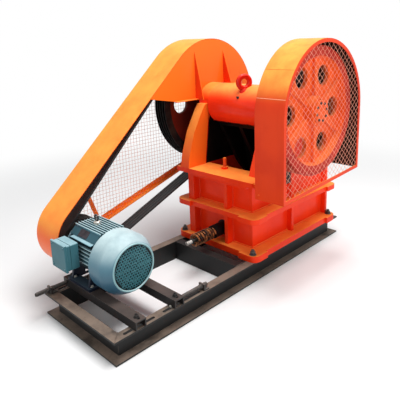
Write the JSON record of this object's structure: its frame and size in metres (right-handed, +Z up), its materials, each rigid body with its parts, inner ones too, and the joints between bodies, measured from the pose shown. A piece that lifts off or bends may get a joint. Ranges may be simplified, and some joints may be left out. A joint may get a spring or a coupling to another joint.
{
  "type": "jaw crusher",
  "caption": "Orange jaw crusher on a dark channel base with a teal motor, guarded belt drive, mesh-guarded flywheel and spring-loaded tension rod.",
  "frame": {"origin": "floor point under the middle of the base frame's cross beam, midway between the long rails", "axes": "+X along the shafts towards the flywheel, +Y from the motor end to the feed end, +Z up"},
  "size_m": [1.17, 2.131, 1.504],
  "materials": {
    "guard_paint": "gloss",
    "mesh_wire": "satin",
    "frame_paint": "gloss",
    "rolled_steel": "satin",
    "plain_steel": "satin",
    "motor_paint": "gloss",
    "bright_steel": "satin",
    "cast_black": "matte",
    "wheel_paint": "gloss",
    "belt_rubber": "matte",
    "jaw_paint": "gloss",
    "manganese_steel": "matte",
    "spring_steel": "satin"
  },
  "bodies": {
    "frame": {"adjusting_stud": "plain_steel", "base_cross_beam": "rolled_steel", "base_end_front": "rolled_steel", "base_end_rear": "rolled_steel", "base_rail_left": "rolled_steel", "base_rail_right": "rolled_steel", "belt_guard_bracket": "guard_paint", "belt_guard_lower_bar": "guard_paint", "belt_guard_mesh": "guard_paint", "belt_guard_plate": "guard_paint", "belt_guard_rim": "guard_paint", "fan_cowl": "motor_paint", "fixed_jaw_plate": "manganese_steel", "flywheel_guard_bracket": "guard_paint", "flywheel_guard_mesh": "mesh_wire", "flywheel_guard_plate": "guard_paint", "flywheel_guard_rim": "guard_paint", "front_wall": "frame_paint", "left_bearing_housing": "frame_paint", "left_cheek_plate": "manganese_steel", "left_side_wall": "frame_paint", "motor_end_shield": "motor_paint", "motor_feet": "motor_paint", "motor_housing": "motor_paint", "motor_slide_front": "rolled_steel", "motor_slide_rear": "rolled_steel", "rear_wall": "frame_paint", "right_bearing_housing": "frame_paint", "right_cheek_plate": "manganese_steel", "right_side_wall": "frame_paint", "tension_rod": "plain_steel", "tension_screw_left": "plain_steel", "tension_screw_right": "plain_steel", "tension_spring": "spring_steel", "terminal_box": "motor_paint", "toggle_plate": "manganese_steel", "toggle_seat": "frame_paint", "v_belts": "belt_rubber"},
    "crusher_rotor": {"eccentric_shaft": "bright_steel", "flywheel": "wheel_paint", "grooved_pulley": "wheel_paint"},
    "jaw": {"swing_jaw": "jaw_paint", "swing_jaw_plate": "manganese_steel", "lifting_eye": "jaw_paint"},
    "motor_rotor": {"motor_shaft": "bright_steel", "motor_pulley": "cast_black"}
  },
  "joints": [
    {"name": "crusher_shaft", "type": "hinge", "parent": "frame", "child": "crusher_rotor", "pos_m": [0, 0.409, 1.062], "axis": [1, 0, 0], "continuous": true},
    {"name": "jaw_swing", "type": "hinge", "parent": "crusher_rotor", "child": "jaw", "pos_m": [0, 0.399, 1.062], "axis": [1, 0, 0], "continuous": true},
    {"name": "motor_shaft_spin", "type": "hinge", "parent": "frame", "child": "motor_rotor", "pos_m": [0, -0.685, 0.338], "axis": [1, 0, 0], "continuous": true}
  ],
  "couplings": [
    {"joint": "jaw_swing", "follows": "crusher_shaft", "ratio": -1},
    {"joint": "motor_shaft_spin", "follows": "crusher_shaft", "ratio": 2.78}
  ]
}
